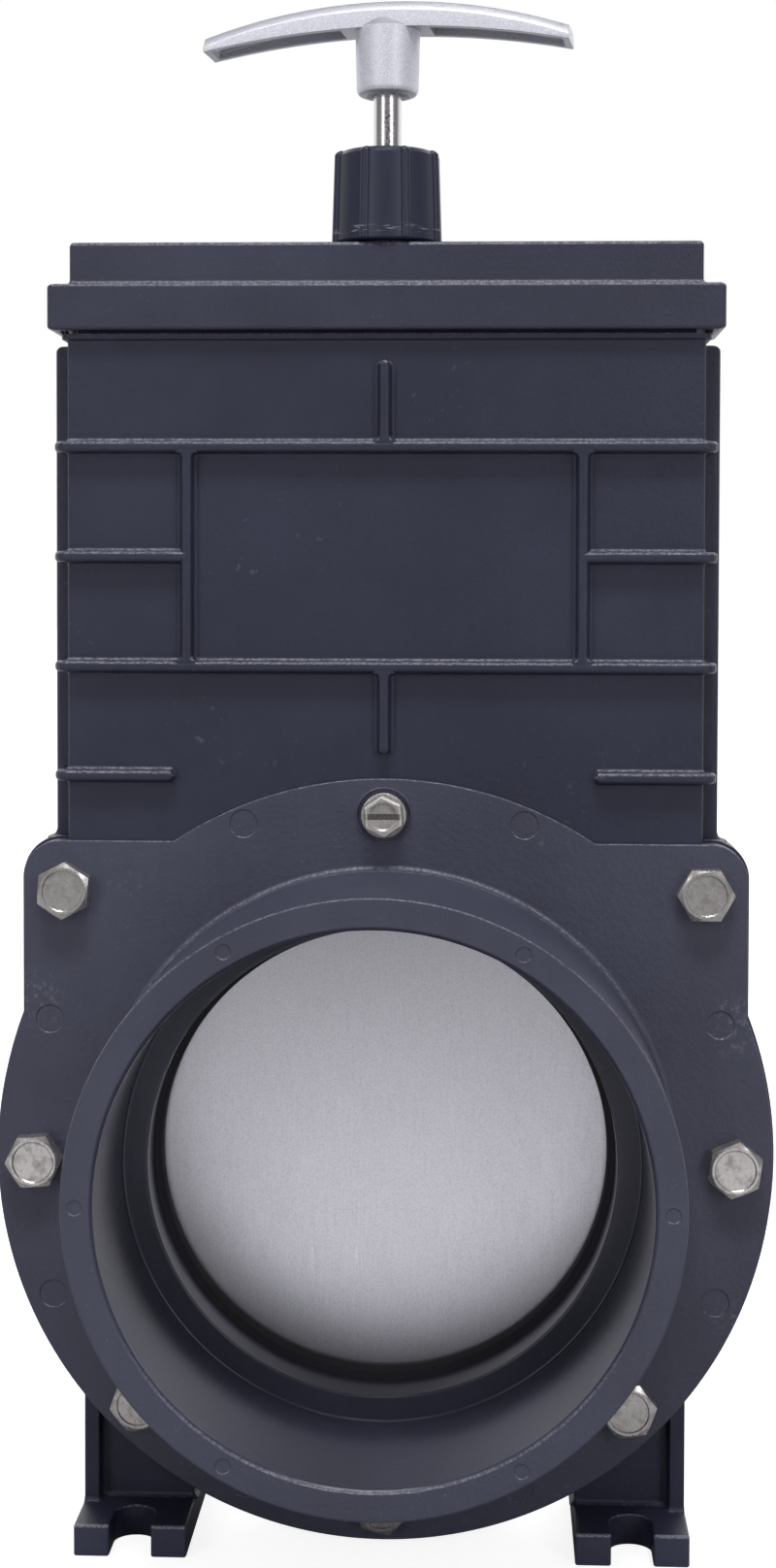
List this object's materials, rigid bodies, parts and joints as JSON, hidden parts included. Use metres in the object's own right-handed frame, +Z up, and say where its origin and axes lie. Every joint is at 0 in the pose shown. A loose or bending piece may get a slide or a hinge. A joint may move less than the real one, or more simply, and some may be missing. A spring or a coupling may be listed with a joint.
{
  "type": "pvc slide gate valve",
  "caption": "Slide gate valve for PVC pipe: socket hubs, ribbed housing, steel blade, rod and T-handle, on slotted feet.",
  "frame": {"origin": "under the middle of the valve, on the plane that its feet stand on", "axes": "+X to the right across the valve, +Y along the pipe to the rear, +Z up along the rod"},
  "size_m": [0.1742, 0.115, 0.3445],
  "materials": {
    "body_pvc": "satin moulded dark grey PVC",
    "hub_pvc": "satin moulded dark grey PVC",
    "nut_pvc": "satin moulded dark grey PVC",
    "seal_rubber": "black rubber",
    "packing": "waxed packing",
    "blade_steel": "brushed stainless steel",
    "rod_steel": "bright stainless steel",
    "handle_alloy": "fine-grained cast alloy",
    "bolt_steel": "stainless steel"
  },
  "bodies": {
    "valve": {"valve_body": "body_pvc", "front_hub": "hub_pvc", "rear_hub": "hub_pvc", "front_seal": "seal_rubber", "rear_seal": "seal_rubber", "lid": "body_pvc", "packing_ring": "packing", "packing_nut": "nut_pvc", "bolt_top_left": "bolt_steel", "bolt_top_right": "bolt_steel", "bolt_mid_left": "bolt_steel", "bolt_mid_right": "bolt_steel", "bolt_low_left": "bolt_steel", "bolt_low_right": "bolt_steel", "bolt_bottom": "bolt_steel", "nut_top_left": "bolt_steel", "nut_top_right": "bolt_steel", "nut_mid_left": "bolt_steel", "nut_mid_right": "bolt_steel", "nut_low_left": "bolt_steel", "nut_low_right": "bolt_steel", "nut_bottom": "bolt_steel", "front_screw": "bolt_steel", "rear_screw": "bolt_steel"},
    "gate": {"gate_blade": "blade_steel", "blade_yoke": "blade_steel"},
    "stem": {"rod": "rod_steel", "handle": "handle_alloy"}
  },
  "joints": [
    {"name": "gate_lift", "type": "slide", "parent": "valve", "child": "gate", "axis": [0, 0, 1], "range_m": [0, 0.1079]},
    {"name": "handle_swivel", "type": "hinge", "parent": "gate", "child": "stem", "pos_m": [0, 0, 0.3383], "axis": [0, 0, 1], "continuous": true}
  ]
}
